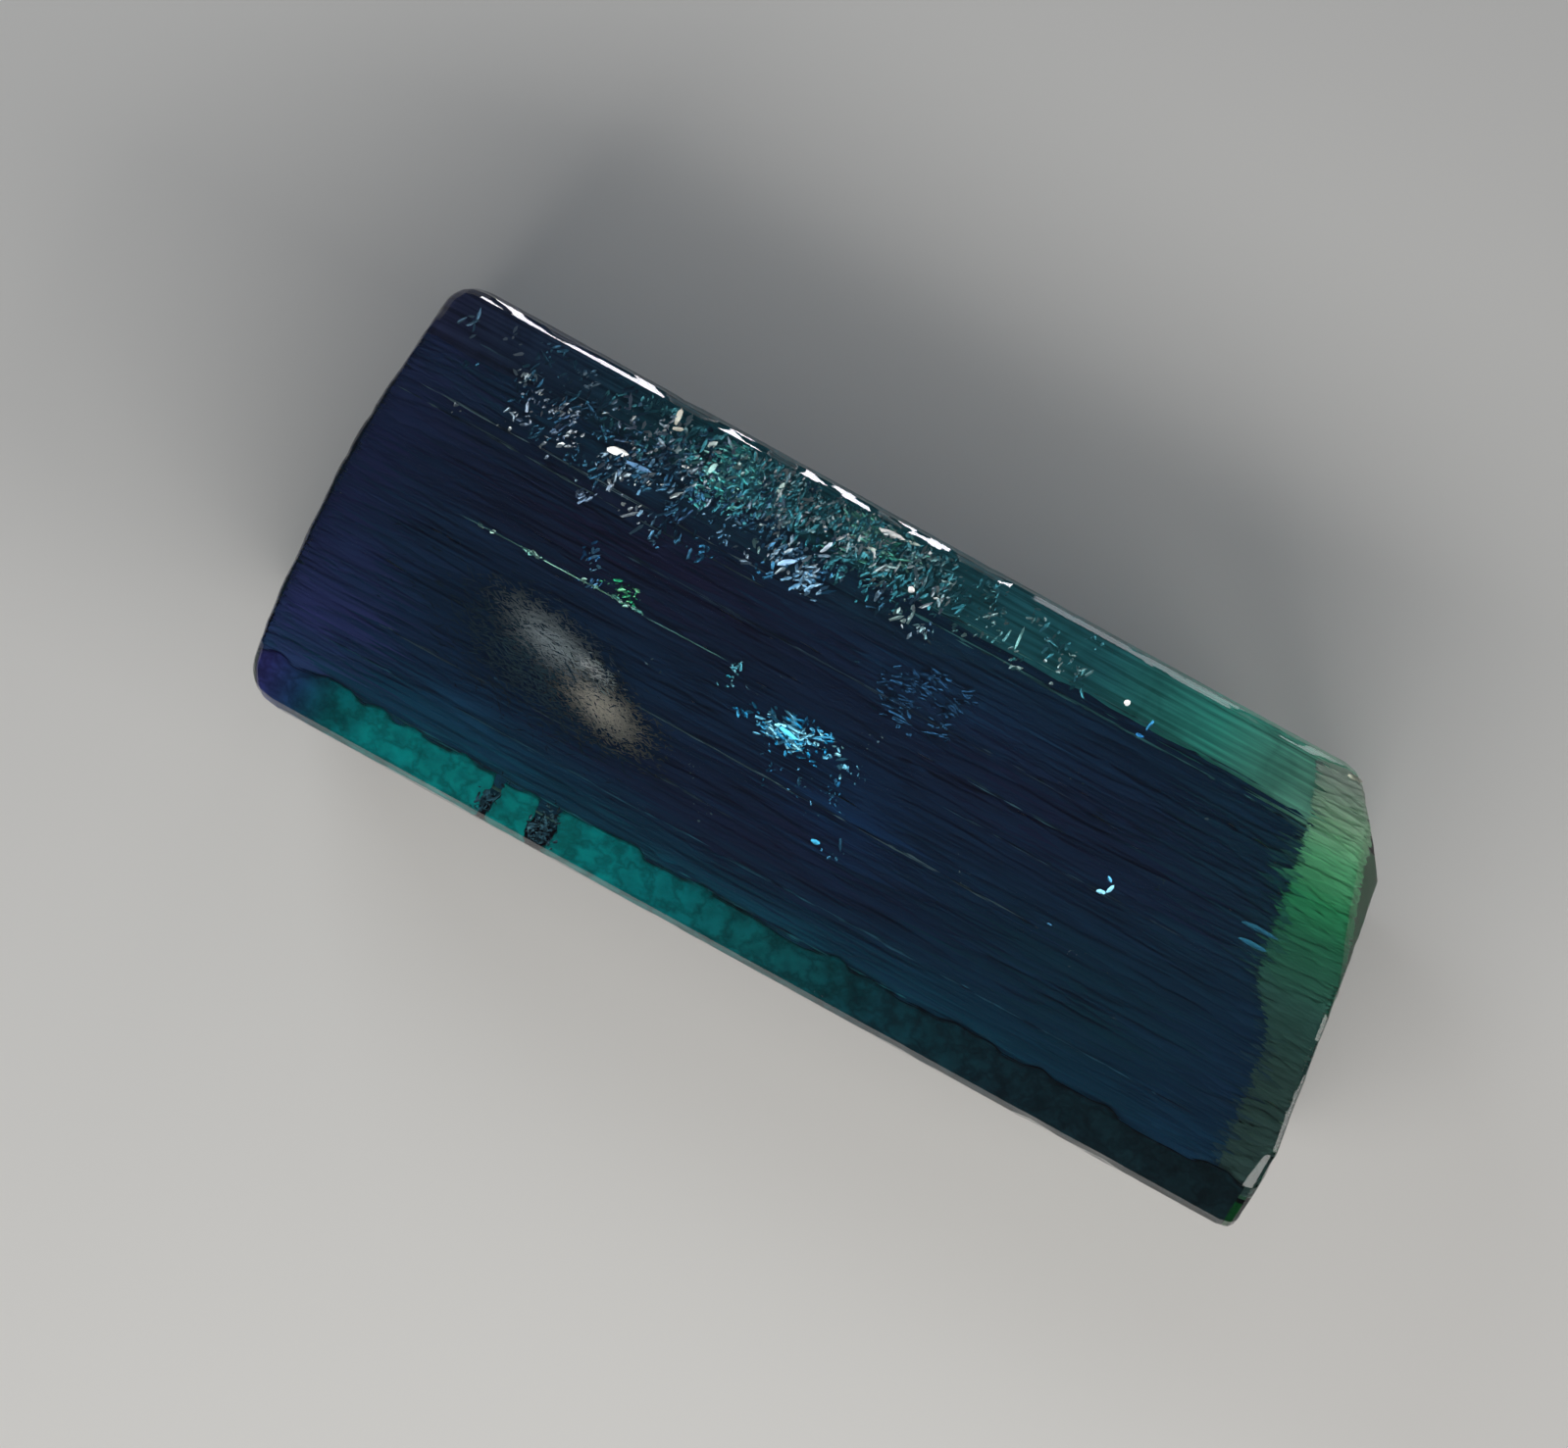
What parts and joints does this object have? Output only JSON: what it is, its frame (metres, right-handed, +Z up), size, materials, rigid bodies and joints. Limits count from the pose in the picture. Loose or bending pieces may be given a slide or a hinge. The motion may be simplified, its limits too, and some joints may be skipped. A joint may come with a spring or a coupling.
{
  "type": "tourmaline crystal",
  "caption": "Natural tourmaline prism lying on its side: navy body, teal edge, green end, violet end, with fluid flecks and a milky cloud sealed inside.",
  "frame": {"origin": "middle of the bounding box's underside, on the flat prism face that the crystal lies on", "axes": "+X along the crystal from its violet end to its green end, +Y across it towards its narrow face, +Z up, out of the broad front face"},
  "size_m": [0.018, 0.0074, 0.0056],
  "materials": {
    "tourmaline": "glassy growth faces with fine lengthwise striations, see-through at the edges, near-black navy in the middle",
    "inclusions": "sealed in: bright fluid and gas flecks, a milky cloud of fine fibres, and healed cracks"
  },
  "bodies": {
    "root": {"crystal": "tourmaline"}
  },
  "joints": []
}
